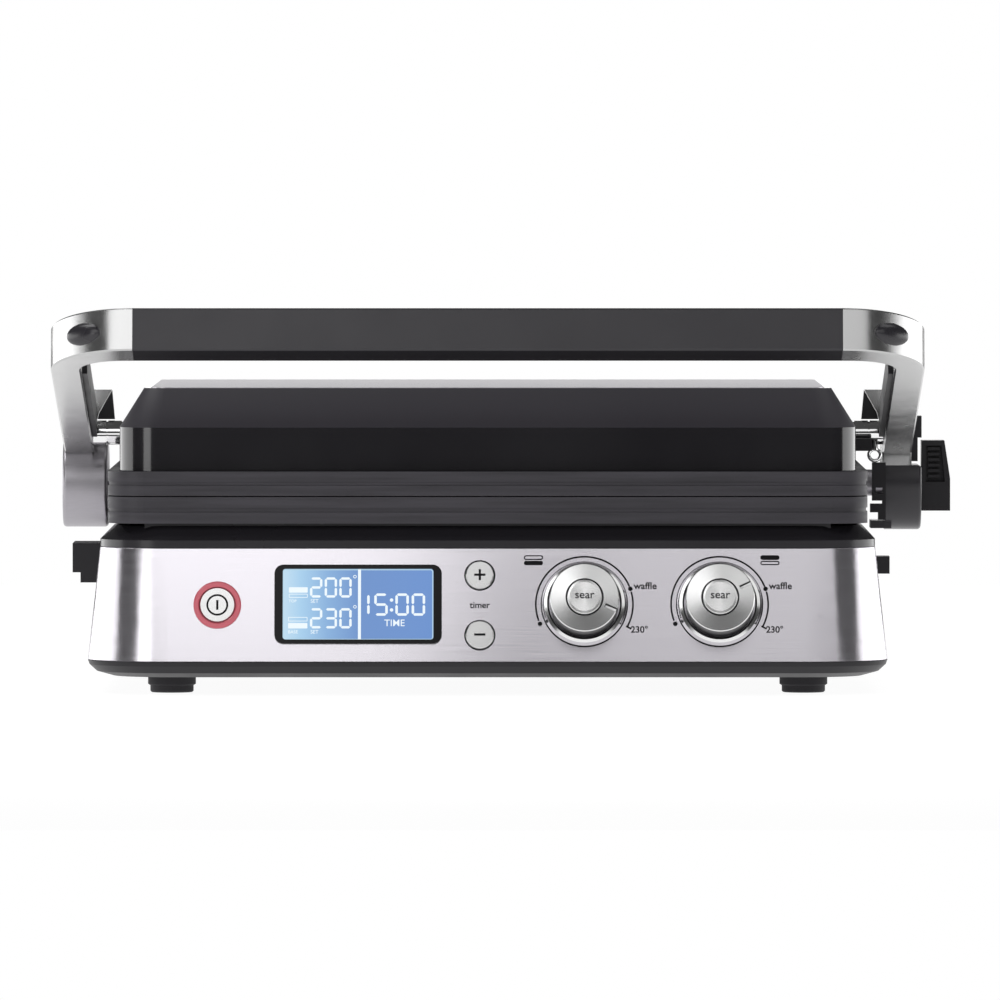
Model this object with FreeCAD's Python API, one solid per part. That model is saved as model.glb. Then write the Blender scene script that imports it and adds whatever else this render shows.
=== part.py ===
import FreeCAD, Part
import math
import os

from FreeCAD import Vector

# A two-plate contact grill: a steel-fronted base, a lid that floats on a bow handle, and a
# hinge carriage that rises for thick food. Millimetres. X = 0 is the middle of the base,
# Y = 0 the foot of its front panel, Z = 0 the table, +Y the rear.

# base
FOOT_HEIGHT = 7.6
FOOT_RADIUS = 10.5
FOOT_X = 138.5
FOOT_Y = (40.0, 235.0)
SKIRT_TOP = 14.5
FASCIA_TOP = 64.1
LIP_TOP = 67.3
SHOULDER_TOP = 73.3
BASE_HALF_BOTTOM = 175.3
BASE_HALF_TOP = 169.9
FRONT_LEAN = 11.4
SHOULDER_INSET = 7.2
BASE_REAR = 272.0
BASE_CORNER_BOTTOM = 36.0
BASE_CORNER_TOP = 30.0
BASE_REAR_CORNER = 7.0
STEEL = 1.2
STEEL_EASE = 0.4
PLASTIC = 2.5
FASCIA_END = 255.0
FLOOR_Z = FOOT_HEIGHT + PLASTIC

# plates
PLATE_HALF = 166.3
PLATE_FRONT = 14.0
PLATE_REAR = 248.0
PLATE_CORNER = 16.0
LOWER_PLATE = (74.6, 86.2)
UPPER_PLATE = (86.7, 97.3)
PLATE_RIM = 9.0
PLATE_WEB = 4.0
RIB_PITCH = 8.4
RIB_COUNT = 35
RIB_WIDTH = 4.2
RIB_HEIGHT = 3.6
RIB_LENGTH = 192.0

# lid
LID_HALF = 161.3
LID_FRONT = 19.0
LID_REAR = 249.0
LID_WALL_TOP = 116.4
LID_TOP = 133.4
LID_TOP_HALF = 150.7
LID_TOP_FRONT = 35.0
LID_TOP_REAR = 238.0

# hinge, lid pivots and floating carriage
HINGE_Y = 262.0
HINGE_Z = 86.2
HUB_RADIUS = 20.0
SHAFT_RADIUS = 6.0
RUNNING = 0.05
KNUCKLE_RADIUS = 11.0
CARRIAGE_X = (149.0, 163.0)
CARRIAGE_Y = (254.5, 267.0)
CARRIAGE_FOOT = 35.0
ROD_RADIUS = 2.5
ROD_STATION = (263.0, 40.0)
PIVOT_Y = 240.0
PIVOT_Z = 109.4
PIVOT_RADIUS = 5.5

# handle, in a frame that leans with the arms: x across, y down the arm, z square to it
ARM_LEAN = 11.82
HANDLE_FRONT = Vector(0, 6.0, 150.4)
GRIP_HALF = 154.7
BOW_START = 155.0
BOW_DEPTH = 24.8
BOW_HEIGHT = 18.9
ARM_OUTER = 192.0
ARM_INNER = 178.8
HUB_WRAP = 29.3
HUB_STATION = 263.7
ARM_EDGE = 0.7

# front panel, all stations on the leaning steel face
PANEL_LEAN = math.degrees(math.atan2(FRONT_LEAN, FASCIA_TOP - SKIRT_TOP))
KNOBS = {"lower": 42.2, "upper": 101.2}
POINTER_ANGLES = {"lower": -22.0, "upper": 26.0}
KNOB_Z = 39.7
RING_RADIUS = 18.6
RING_BORE = 15.5
KNOB_RADIUS = 15.1
KNOB_HEIGHT = 17.0
SEAR_RADIUS = 7.85
POWER_X, POWER_Z, POWER_RADIUS = -117.9, 39.3, 10.4
DISPLAY_X, DISPLAY_Z = -56.5, 39.6
BEZEL = (73.0, 35.0)
GLASS = (65.7, 31.5)
TIMER_X = -3.4
TIMER_BUTTONS = {"plus": 52.2, "minus": 26.3}
TIMER_RADIUS = 6.2

# grease tray under the rear
TRAY_HALF = 60.0
TRAY_Y = (206.0, 296.0)
TRAY_Z = (12.6, 30.0)
HOUSING_REAR = 300.0
HOUSING_HALF = 150.0
HOUSING_TOP = 36.0
HOUSING_CORNER = 11.0

# the row's origin: middle of the whole object's footprint, on the table
ORIGIN = Vector(8.6, 147.4, 0)


def box(x_low, x_high, y_low, y_high, z_low, z_high):
    corner = Vector(x_low, y_low, z_low)
    return Part.makeBox(x_high - x_low, y_high - y_low, z_high - z_low, corner)


def mirrored(shape):
    return shape.mirror(Vector(0, 0, 0), Vector(1, 0, 0))


def rod(radius, start, end):
    return Part.makeCylinder(radius, (end - start).Length, start, end - start)


def cross_rod(radius, x_low, x_high, y, z):
    return rod(radius, Vector(x_low, y, z), Vector(x_high, y, z))


def fuse(shapes):
    return shapes[0].multiFuse(shapes[1:]).removeSplitter() if len(shapes) > 1 else shapes[0]


def arc(centre, radius, start_angle, z):
    """A quarter turn about centre, anticlockwise from start_angle in degrees."""
    points = []
    for angle in (start_angle, start_angle + 45, start_angle + 90):
        turn = math.radians(angle)
        points.append(Vector(centre[0] + radius * math.cos(turn),
                             centre[1] + radius * math.sin(turn), z))
    return Part.Arc(*points).toShape()


def outline(half_width, front, rear, front_radius, rear_radius, z):
    """A rectangle about X = 0 with round corners, as a closed wire at height z."""
    corners = [
        arc((half_width - rear_radius, rear - rear_radius), rear_radius, 0, z),
        arc((-half_width + rear_radius, rear - rear_radius), rear_radius, 90, z),
        arc((-half_width + front_radius, front + front_radius), front_radius, 180, z),
        arc((half_width - front_radius, front + front_radius), front_radius, 270, z),
    ]
    edges = []
    for corner, following in zip(corners, corners[1:] + corners[:1]):
        start = corner.Vertexes[-1].Point
        end = following.Vertexes[0].Point
        edges += [corner, Part.makeLine(start, end)]
    return Part.Wire(edges)


def loft(*wires):
    return Part.makeLoft(list(wires), True, True)


def slab(half_width, front, rear, radius, z_low, z_high):
    face = Part.Face(outline(half_width, front, rear, radius, radius, z_low))
    return face.extrude(Vector(0, 0, z_high - z_low))


def rounded_block(width, height, radius, z_low, z_high):
    """A block centred on the z axis, its four upright edges rounded."""
    face = Part.Face(outline(width / 2, -height / 2, height / 2, radius, radius, z_low))
    return face.extrude(Vector(0, 0, z_high - z_low))


def turned(profile):
    """A solid of revolution about the z axis from (radius, height) points."""
    points = [Vector(radius, 0, height) for radius, height in profile]
    face = Part.Face(Part.makePolygon(points + points[:1]))
    return face.revolve(Vector(0, 0, 0), Vector(0, 0, 1), 360)


def bent_tube(points, bend, radius):
    """A round tube along straight runs joined by tangent arcs of one radius."""
    edges = []
    start = points[0]
    for before, corner, after in zip(points, points[1:], points[2:]):
        arrive = (corner - before).normalize()
        leave = (after - corner).normalize()
        turn = arrive.getAngle(leave)
        trim = bend * math.tan(turn / 2)
        first = corner - arrive * trim
        last = corner + leave * trim
        inward = (leave - arrive).normalize()
        middle = corner + inward * (bend / math.cos(turn / 2) - bend)
        edges.append(Part.makeLine(start, first))
        edges.append(Part.Arc(first, middle, last).toShape())
        start = last
    edges.append(Part.makeLine(start, points[-1]))
    heading = (points[1] - points[0]).normalize()
    section = Part.Wire(Part.makeCircle(radius, points[0], heading))
    return Part.Wire(edges).makePipeShell([section], True, False)


def panel_y(z):
    return (z - SKIRT_TOP) * FRONT_LEAN / (FASCIA_TOP - SKIRT_TOP)


def on_panel(shape, x, z):
    """Places a shape made about the origin on the front panel: its z points out of the steel."""
    placed = shape.copy()
    placed.rotate(Vector(0, 0, 0), Vector(1, 0, 0), 90 - PANEL_LEAN)
    placed.translate(Vector(x, panel_y(z), z))
    return placed


def on_arm(shape):
    """Places a shape drawn in the handle's leaning frame."""
    placed = shape.copy()
    placed.rotate(Vector(0, 0, 0), Vector(1, 0, 0), -ARM_LEAN)
    placed.translate(HANDLE_FRONT)
    return placed


# ---- base ----

def feet():
    pieces = []
    for x in (-FOOT_X, FOOT_X):
        for y in FOOT_Y:
            profile = [(0, 0), (FOOT_RADIUS - 1.6, 0), (FOOT_RADIUS - 1.0, 0.6),
                       (FOOT_RADIUS - 1.0, 3.0), (FOOT_RADIUS, 3.6),
                       (FOOT_RADIUS, FOOT_HEIGHT), (0, FOOT_HEIGHT)]
            foot = turned(profile)
            foot.translate(Vector(x, y, 0))
            pieces.append(foot)
    return pieces


SCREW_STATIONS = [(-150, 60), (150, 60), (-150, 215), (150, 215), (0, 40), (-90, 230)]


def base_screws():
    screws = []
    for x, y in SCREW_STATIONS:
        head = rod(3.4, Vector(x, y, FOOT_HEIGHT), Vector(x, y, FOOT_HEIGHT + 1.4))
        shank = rod(1.6, Vector(x, y, FOOT_HEIGHT + 1.4), Vector(x, y, FOOT_HEIGHT + 14))
        screws.append(head.fuse(shank))
    return screws


def bottom_cover():
    """Black pan: turned-under skirt, floor, tray runners, board posts and screw bosses."""
    outside = loft(outline(164.0, 10.0, 264.0, 26, BASE_REAR_CORNER, FOOT_HEIGHT),
                   outline(171.3, 3.6, 269.6, 32, BASE_REAR_CORNER, FOOT_HEIGHT + 2.0),
                   outline(174.6, 0.7, 271.6, 35, BASE_REAR_CORNER, FOOT_HEIGHT + 5.0),
                   outline(BASE_HALF_BOTTOM, 0, BASE_REAR, 36, BASE_REAR_CORNER, SKIRT_TOP))
    inside = slab(162.0, 12.0, 262.0, 24, FLOOR_Z, SKIRT_TOP)
    pan = outside.cut(inside)
    additions = [box(x - 2, x + 2, 200, 262, FLOOR_Z, TRAY_Z[0] - 0.1) for x in (-50, 50)]
    for x in (-110, 10):
        for y in (70, 150):
            additions.append(rod(4, Vector(x, y, FLOOR_Z), Vector(x, y, 16)))
    for x, y in SCREW_STATIONS:
        additions.append(rod(5, Vector(x, y, FLOOR_Z), Vector(x, y, FLOOR_Z + 14)))
    pan = fuse([pan] + additions)
    mouth = box(-TRAY_HALF - 2, TRAY_HALF + 2, 261.9, BASE_REAR + 1, TRAY_Z[0] - 0.1, SKIRT_TOP + 1)
    return pan.cut(fuse(base_screws() + [mouth]))


def base_outline(z, inset):
    """The base's plan at height z, drawn in by inset: it tapers from skirt to deck."""
    share = (z - SKIRT_TOP) / (FASCIA_TOP - SKIRT_TOP)
    half = BASE_HALF_BOTTOM + share * (BASE_HALF_TOP - BASE_HALF_BOTTOM)
    corner = BASE_CORNER_BOTTOM + share * (BASE_CORNER_TOP - BASE_CORNER_BOTTOM)
    return outline(half - inset, share * FRONT_LEAN + inset, BASE_REAR - inset,
                   corner - inset, BASE_REAR_CORNER - inset, z)


def base_shell(inset):
    return loft(base_outline(SKIRT_TOP, inset), base_outline(FASCIA_TOP, inset))


def panel_openings():
    holes = [on_panel(rounded_block(*BEZEL, 4, -6, 6), DISPLAY_X, DISPLAY_Z)]
    holes.append(on_panel(turned_disc(POWER_RADIUS, -6, 6), POWER_X, POWER_Z))
    for z in TIMER_BUTTONS.values():
        holes.append(on_panel(turned_disc(TIMER_RADIUS + 0.2, -6, 6), TIMER_X, z))
    for x in KNOBS.values():
        holes.append(on_panel(turned_disc(5, -6, 6), x, KNOB_Z))
    return holes


def turned_disc(radius, z_low, z_high):
    return Part.makeCylinder(radius, z_high - z_low, Vector(0, 0, z_low))


RELEASE_LEFT = {"y": (102.0, 138.0), "z": (46.0, 64.0)}
RELEASE_RIGHT = {"y": (192.0, 208.0), "z": (47.0, 54.7)}


def release_window(place, x_low, x_high):
    return box(x_low, x_high, place["y"][0] - 0.4, place["y"][1] + 0.4,
               place["z"][0] - 0.4, min(place["z"][1] + 0.4, FASCIA_TOP - 0.05))


def fascia():
    """Stainless wrap over the front and both sides, its upper and lower edges eased."""
    body = loft(base_outline(SKIRT_TOP, STEEL_EASE), base_outline(SKIRT_TOP + STEEL_EASE, 0),
                base_outline(FASCIA_TOP - STEEL_EASE, 0), base_outline(FASCIA_TOP, STEEL_EASE))
    wrap = body.cut(base_shell(STEEL))
    front_part = wrap.common(box(-200, 200, -20, FASCIA_END, 0, 100))
    openings = panel_openings()
    openings.append(release_window(RELEASE_LEFT, -200, -150))
    openings.append(release_window(RELEASE_RIGHT, 150, 200))
    return front_part.cut(fuse(openings))


VENT_X = (-130.0, -118.0, -106.0, -94.0, 94.0, 130.0)


def rear_panel():
    """Black rear wall between the ends of the stainless wrap, with vents and the tray mouth."""
    wall = base_shell(0).cut(base_shell(PLASTIC)).common(box(-200, 200, FASCIA_END, 300, 0, 100))
    mouth = box(-TRAY_HALF - 2, TRAY_HALF + 2, 260, 280, SKIRT_TOP, TRAY_Z[1] + 1.5)
    vents = [box(x - 2, x + 2, 260, 280, 42, 58) for x in VENT_X]
    cord = rod(5.0, Vector(110, 260, 24), Vector(110, 280, 24))
    return wall.cut(fuse([mouth, cord] + vents))


def rear_housing():
    """Low box behind the base: tunnel for the grease tray and exit for the mains lead."""
    shell = slab(HOUSING_HALF, BASE_REAR - 12, HOUSING_REAR, HOUSING_CORNER, FOOT_HEIGHT, HOUSING_TOP)
    hollow = slab(HOUSING_HALF - PLASTIC, BASE_REAR - 12, HOUSING_REAR - PLASTIC,
                  HOUSING_CORNER - PLASTIC, FLOOR_Z, HOUSING_TOP - PLASTIC)
    shell = shell.cut(hollow).common(box(-200, 200, BASE_REAR, 320, 0, 100))
    runners = [box(x - 2, x + 2, BASE_REAR, HOUSING_REAR - PLASTIC, FLOOR_Z, TRAY_Z[0] - 0.1)
               for x in (-50, 50)]
    shell = fuse([shell] + runners)
    mouth = box(-TRAY_HALF - 2, TRAY_HALF + 2, HOUSING_REAR - 5, HOUSING_REAR + 5,
                TRAY_Z[0] - 0.1, TRAY_Z[1] + 1.5)
    cord = rod(6.5, Vector(110, 290, 22), Vector(110, 310, 22))
    return shell.cut(mouth).cut(cord)


def cord_gland():
    profile = [(3.6, -4), (8.0, -4), (8.0, -2.5), (6.5, -2.5), (6.5, 0), (9.0, 0),
               (9.0, 1.6), (6.2, 4.6), (3.6, 4.6)]
    gland = turned(profile)
    gland.rotate(Vector(0, 0, 0), Vector(1, 0, 0), -90)
    gland.translate(Vector(110, HOUSING_REAR, 22))
    return gland


def carriage_slot(clearance, z_low, z_high):
    return box(CARRIAGE_X[0] - clearance, CARRIAGE_X[1] + clearance,
               CARRIAGE_Y[0] - clearance, CARRIAGE_Y[1] + clearance, z_low, z_high)


def deck():
    """Black top of the base: lip, shoulder, heater well, plate rails, towers, grease chute."""
    body = loft(
        outline(BASE_HALF_TOP, FRONT_LEAN, BASE_REAR, 30, BASE_REAR_CORNER, FASCIA_TOP),
        outline(BASE_HALF_TOP, FRONT_LEAN, BASE_REAR, 30, BASE_REAR_CORNER, LIP_TOP),
        outline(BASE_HALF_TOP - SHOULDER_INSET, FRONT_LEAN + SHOULDER_INSET,
                BASE_REAR - SHOULDER_INSET, 24, 5, SHOULDER_TOP))
    well = slab(154.0, 27.0, 243.0, 14, FASCIA_TOP + 2.0, SHOULDER_TOP + 1)
    rail_top = LOWER_PLATE[0]
    additions = [box(-150, 150, 20, 25, SHOULDER_TOP - 1, rail_top),
                 box(-150, 150, 243.6, 245.8, SHOULDER_TOP - 1, rail_top)]
    for side in (-1, 1):
        rail_x = sorted((side * 157.0, side * 162.0))
        tower_x = sorted((side * 147.5, side * 168.8))
        additions.append(box(*rail_x, 46, 230, SHOULDER_TOP - 1, rail_top))
        additions.append(box(*tower_x, 251.5, BASE_REAR, FASCIA_TOP, SHOULDER_TOP + 0.7))
    additions.append(box(-20, 20, 246.9, 258.4, 31.8, LIP_TOP))
    body = fuse([body.cut(well)] + additions)
    slot = carriage_slot(0.15, 50, 90)
    spout_hole = box(-16, 16, 248.5, 256.9, 30, 90)
    cuts = [slot, mirrored(slot), spout_hole]
    for x in TERMINAL_X:
        cuts.append(rod(5.5, Vector(x, TERMINAL_Y, 50), Vector(x, TERMINAL_Y, 90)))
    return body.cut(fuse(cuts))


def guides():
    """Upright channels under the towers that steer the hinge carriage."""
    channel = box(146.5, 165.5, 251.5, 268.5, SKIRT_TOP, FASCIA_TOP).cut(
        carriage_slot(0.15, SKIRT_TOP + 3, 90))
    slit = box(145.0, 150.0, 259.5, 266.5, CARRIAGE_FOOT + 2, 90)
    channel = channel.cut(slit)
    return [channel, mirrored(channel)]


def grease_tray():
    """Pull-out drawer: open pan with a lipped front plate at the rear of the grill."""
    pan = box(-TRAY_HALF, TRAY_HALF, TRAY_Y[0], HOUSING_REAR + 2.6, *TRAY_Z)
    hollow = box(-TRAY_HALF + 2, TRAY_HALF - 2, TRAY_Y[0] + 2, TRAY_Y[1],
                 TRAY_Z[0] + 2, TRAY_Z[1] + 1)
    plate = box(-66, 66, HOUSING_REAR + 0.2, HOUSING_REAR + 2.6, 10.4, 34.0)
    lip = box(-30, 30, HOUSING_REAR + 2.6, HOUSING_REAR + 8.0, 27.0, 30.0)
    return fuse([pan.cut(hollow), plate, lip])


# ---- cooking plates and heaters ----

def plate(z_low, z_high, ribs_up):
    """One ribbed cooking plate: a cast dish, hollow on its heater side."""
    body = slab(PLATE_HALF, PLATE_FRONT, PLATE_REAR, PLATE_CORNER, z_low, z_high)
    rim = slab(PLATE_HALF - PLATE_RIM, PLATE_FRONT + PLATE_RIM, PLATE_REAR - PLATE_RIM,
               PLATE_CORNER - 6, 0, PLATE_WEB)
    back = slab(PLATE_HALF - 5, PLATE_FRONT + 5, PLATE_REAR - 5, PLATE_CORNER - 4, 0, PLATE_WEB)
    rim.translate(Vector(0, 0, z_high - PLATE_WEB if ribs_up else z_low))
    back.translate(Vector(0, 0, z_low if ribs_up else z_high - PLATE_WEB))
    dish = body.cut(rim).cut(back).cut(rim_groove(z_low, z_high))
    foot_z = z_high - PLATE_WEB if ribs_up else z_low + PLATE_WEB
    crest_z = foot_z + (RIB_HEIGHT if ribs_up else -RIB_HEIGHT)
    rib_front = (PLATE_FRONT + PLATE_REAR - RIB_LENGTH) / 2
    ribs = []
    for index in range(RIB_COUNT):
        x = (index - (RIB_COUNT - 1) / 2) * RIB_PITCH
        half = RIB_WIDTH / 2
        section = [Vector(x - half, rib_front, foot_z), Vector(x + half, rib_front, foot_z),
                   Vector(x + half - 1, rib_front, crest_z),
                   Vector(x - half + 1, rib_front, crest_z)]
        face = Part.Face(Part.makePolygon(section + section[:1]))
        ribs.append(face.extrude(Vector(0, RIB_LENGTH, 0)))
    return dish.multiFuse(ribs)


def rim_groove(z_low, z_high):
    """The shallow line cast round the middle of a plate's outer edge."""
    depth, overlap = 0.6, 1.0
    height = z_high - z_low
    low, high = z_low + 0.42 * height, z_low + 0.58 * height
    outside = slab(PLATE_HALF + overlap, PLATE_FRONT - overlap, PLATE_REAR + overlap,
                   PLATE_CORNER + overlap, low, high)
    inside = slab(PLATE_HALF - depth, PLATE_FRONT + depth, PLATE_REAR - depth,
                  PLATE_CORNER - depth, low, high)
    return outside.cut(inside)


def lower_plate():
    spout = box(-12, 12, PLATE_REAR - 2, 255.5, LOWER_PLATE[0], 82.0)
    spout = spout.fuse(box(-12, 12, 249.2, 255.5, 71.0, LOWER_PLATE[0]))
    channel = box(-9, 9, PLATE_REAR - 12, 253.5, 80.6, 90)
    outlet = box(-9, 9, 250.0, 253.5, 71, 90)
    return fuse([plate(*LOWER_PLATE, True), spout]).cut(channel).cut(outlet)


TERMINAL_X = (-22.0, 22.0)
TERMINAL_Y = 222.0
ELEMENT_RADIUS = 3.2


def element(z, terminal_z):
    """Tubular heater: one serpentine loop whose two ends turn away to their terminals."""
    points = [Vector(TERMINAL_X[0], TERMINAL_Y, terminal_z), Vector(TERMINAL_X[0], TERMINAL_Y, z),
              Vector(TERMINAL_X[0], 170, z), Vector(-130, 170, z), Vector(-130, 60, z),
              Vector(130, 60, z), Vector(130, 170, z), Vector(TERMINAL_X[1], 170, z),
              Vector(TERMINAL_X[1], TERMINAL_Y, z), Vector(TERMINAL_X[1], TERMINAL_Y, terminal_z)]
    return bent_tube(points, 9.0, ELEMENT_RADIUS)


def reflector(z_low, post_to):
    """Thin bright tray behind a heater, with posts that carry the tube."""
    tray = slab(150, 32, 238, 12, z_low, z_low + 0.8)
    low, high = sorted((z_low + 0.4, post_to))
    posts = []
    for x, y in ((-130, 115), (130, 115), (-60, 60), (60, 60), (-70, 170), (70, 170)):
        posts.append(rod(3.5, Vector(x, y, low), Vector(x, y, high)))
    tray = fuse([tray] + posts)
    holes = [rod(5.0, Vector(x, TERMINAL_Y, z_low - 9), Vector(x, TERMINAL_Y, z_low + 9))
             for x in TERMINAL_X]
    return tray.cut(fuse(holes))


LOWER_ELEMENT_Z = 73.0
UPPER_ELEMENT_Z = 98.5


def thermostat():
    return turned([(0, 67.3), (9, 67.3), (9, 72), (5, 72), (5, 77.4), (0, 77.4)])


def placed_at(shape, x, y):
    moved = shape.copy()
    moved.translate(Vector(x, y, 0))
    return moved


# ---- hinge carriage ----

def carriage():
    block = carriage_slot(0, CARRIAGE_FOOT, HINGE_Z)
    knuckle = cross_rod(KNUCKLE_RADIUS, *CARRIAGE_X, HINGE_Y, HINGE_Z)
    bore = cross_rod(SHAFT_RADIUS + RUNNING, 140, 175, HINGE_Y, HINGE_Z)
    block = fuse([block, knuckle]).cut(bore)
    block = block.cut(cross_rod(ROD_RADIUS, CARRIAGE_X[0] - 1, CARRIAGE_X[0] + 6, *ROD_STATION))
    return [block, mirrored(block)]


def carriage_rod():
    reach = CARRIAGE_X[0] + 6
    return cross_rod(ROD_RADIUS, -reach, reach, *ROD_STATION)


# ---- handle, arms and hubs ----

def quarter_bow(start, end, bulge_start, bulge_end):
    curve = Part.BezierCurve()
    curve.setPoles([start, bulge_start, bulge_end, end])
    return curve.toShape()


def bow_profile():
    """Plan of one bow corner and arm in the handle frame: two soft quarter curves."""
    kappa = 0.5523
    outer_depth = 50.0
    outer_width = ARM_OUTER - BOW_START
    inner_start = BOW_START + 4
    inner_width = ARM_INNER - inner_start
    inner_depth = 22.0
    outer = quarter_bow(Vector(BOW_START, 0, 0), Vector(ARM_OUTER, outer_depth, 0),
                        Vector(BOW_START + outer_width * kappa, 0, 0),
                        Vector(ARM_OUTER, outer_depth * (1 - kappa), 0))
    inner = quarter_bow(Vector(ARM_INNER, BOW_DEPTH + inner_depth, 0),
                        Vector(inner_start, BOW_DEPTH, 0),
                        Vector(ARM_INNER, BOW_DEPTH + inner_depth * (1 - kappa), 0),
                        Vector(inner_start + inner_width * kappa, BOW_DEPTH, 0))
    outer_rear = Vector(ARM_OUTER, HUB_STATION, 0)
    inner_rear = Vector(ARM_INNER, HUB_STATION, 0)
    edges = [outer,
             Part.makeLine(Vector(ARM_OUTER, outer_depth, 0), outer_rear),
             Part.makeLine(outer_rear, inner_rear),
             Part.makeLine(inner_rear, Vector(ARM_INNER, BOW_DEPTH + inner_depth, 0)),
             inner,
             Part.makeLine(Vector(inner_start, BOW_DEPTH, 0), Vector(BOW_START, BOW_DEPTH, 0)),
             Part.makeLine(Vector(BOW_START, BOW_DEPTH, 0), Vector(BOW_START, 0, 0))]
    return Part.Face(Part.Wire(edges))


CORE_Y = (6.0, 19.0)
CORE_Z = (5.0, 14.0)
CORE_REACH = 165.0


def handle_core():
    return on_arm(box(-CORE_REACH, CORE_REACH, *CORE_Y, *CORE_Z))


def handle_grip():
    bar = box(-GRIP_HALF, GRIP_HALF, 0, BOW_DEPTH, 0, BOW_HEIGHT)
    long_edges = [edge for edge in bar.Edges
                  if abs(edge.Vertexes[0].X - edge.Vertexes[1].X) > GRIP_HALF]
    bar = bar.makeChamfer(0.8, long_edges)
    return on_arm(bar.cut(box(-CORE_REACH, CORE_REACH, *CORE_Y, *CORE_Z)))


def runs_along_arm(edge):
    """True for the long edges of the band, above and below, but not its end faces."""
    middle = edge.valueAt((edge.FirstParameter + edge.LastParameter) / 2)
    at_end = middle.x < BOW_START + 0.1 or middle.y > HUB_STATION - 0.1
    upright = abs(edge.Vertexes[0].Z - edge.Vertexes[-1].Z) > 1
    return not at_end and not upright


def arm():
    """Right arm with its bow corner: a metal band that wraps over the hub at its rear end."""
    band = bow_profile().extrude(Vector(0, 0, BOW_HEIGHT))
    band = band.makeChamfer(ARM_EDGE, [edge for edge in band.Edges if runs_along_arm(edge)])
    band = on_arm(band.cut(box(0, CORE_REACH, *CORE_Y, *CORE_Z)))
    wrap = cross_rod(HUB_WRAP, ARM_INNER, ARM_OUTER, HINGE_Y, HINGE_Z)
    wrap = wrap.makeChamfer(ARM_EDGE, [edge for edge in wrap.Edges if edge.Closed])
    behind = on_arm(box(170, 200, HUB_STATION, 300, -20.4, 30))
    band = fuse([band, wrap.common(behind)])
    socket = cross_rod(PIVOT_RADIUS, ARM_INNER - 1, ARM_INNER + 8, PIVOT_Y, PIVOT_Z)
    return band.cut(socket)


def arm_left():
    return mirrored(arm()).cut(cross_rod(HUB_RADIUS, -200, -170, HINGE_Y, HINGE_Z))


HUB_COVER_X = (180.0, 196.5)
HUB_COVER_RADIUS = 21.2
HUB_COVER_TOP = 94.5
LEVER_PIVOT = (275.0, 79.0)
LOCK_PIVOT = (262.0, 100.5)


def arm_right():
    lug = cross_rod(HUB_RADIUS, ARM_INNER, ARM_OUTER, HINGE_Y, HINGE_Z).common(
        box(170, 200, 230, 300, HUB_COVER_TOP, 120))
    body = fuse([arm(), lug])
    body = body.cut(box(*HUB_COVER_X, 230, 300, 60, HUB_COVER_TOP))
    body = body.cut(box(ARM_INNER - 1, HUB_COVER_X[0] + 0.1, 240, 300, 60, HUB_COVER_TOP))
    return body.fuse(cross_rod(2.5, ARM_OUTER - 4, 195.2, *LOCK_PIVOT))


def hub_left():
    disc = cross_rod(HUB_RADIUS, -193.0, -172.5, HINGE_Y, HINGE_Z)
    rims = [edge for edge in disc.Edges if edge.Closed]
    disc = disc.makeFillet(1.6, rims)
    return disc.cut(cross_rod(SHAFT_RADIUS, -186, -170, HINGE_Y, HINGE_Z))


def hub_right():
    """Black cover under the right arm, with a tongue that reaches in below it."""
    cover = cross_rod(HUB_COVER_RADIUS, *HUB_COVER_X, HINGE_Y, HINGE_Z).common(
        box(170, 200, 230, 300, 60, HUB_COVER_TOP))
    rims = [edge for edge in cover.Edges if abs(edge.BoundBox.XMin - HUB_COVER_X[1]) < 0.01]
    cover = cover.makeFillet(1.6, rims)
    tongue = box(173.6, HUB_COVER_X[0] + 3, 250, 272, 65.8, 69.4)
    stub = cross_rod(3.0, HUB_COVER_X[1] - 4, 207, *LEVER_PIVOT)
    cover = fuse([cover, tongue, stub])
    return cover.cut(cross_rod(SHAFT_RADIUS, 170, 190, HINGE_Y, HINGE_Z))


def hinge_shafts():
    left = cross_rod(SHAFT_RADIUS, -186, -CARRIAGE_X[0], HINGE_Y, HINGE_Z)
    right = cross_rod(SHAFT_RADIUS, CARRIAGE_X[0], 190, HINGE_Y, HINGE_Z)
    return [left, right]


PIVOT_INNER = 150.0
BUSH_RADIUS = 6.1


def lid_pivots():
    """Stepped chrome pins from the arms into the sides of the lid."""
    pin = cross_rod(PIVOT_RADIUS, PIVOT_INNER, ARM_INNER + 8, PIVOT_Y, PIVOT_Z)
    for x in (165.0, 172.0):
        ring = cross_rod(PIVOT_RADIUS + 1, x, x + 0.8, PIVOT_Y, PIVOT_Z).cut(
            cross_rod(PIVOT_RADIUS - 0.5, x, x + 0.8, PIVOT_Y, PIVOT_Z))
        pin = pin.cut(ring)
    return [pin, mirrored(pin)]


def prism_xz(corners, y_low, y_high):
    points = [Vector(x, y_low, z) for x, z in corners]
    face = Part.Face(Part.makePolygon(points + points[:1]))
    return face.extrude(Vector(0, y_high - y_low, 0))


def stop_leaves():
    leaf = prism_xz([(ARM_INNER, 115.4), (ARM_INNER, 128.8), (170.6, 128.8), (171.6, 126.9),
                     (176.4, 118.4), (177.2, 115.4)], 244.0, 249.0)
    return [leaf, mirrored(leaf)]


def stop_bumpers():
    bumper = prism_xz([(176.2, 118.4), (171.4, 126.9), (170.4, 128.6), (169.2, 115.4),
                       (177.0, 115.4)], 243.6, 248.0)
    return [bumper, mirrored(bumper)]


def arm_liners():
    """Dark strips along the inner faces of the arms."""
    strip = on_arm(box(ARM_INNER - 2.2, ARM_INNER, 70, 222, 3.0, 15.5))
    return [strip, mirrored(strip)]


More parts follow.
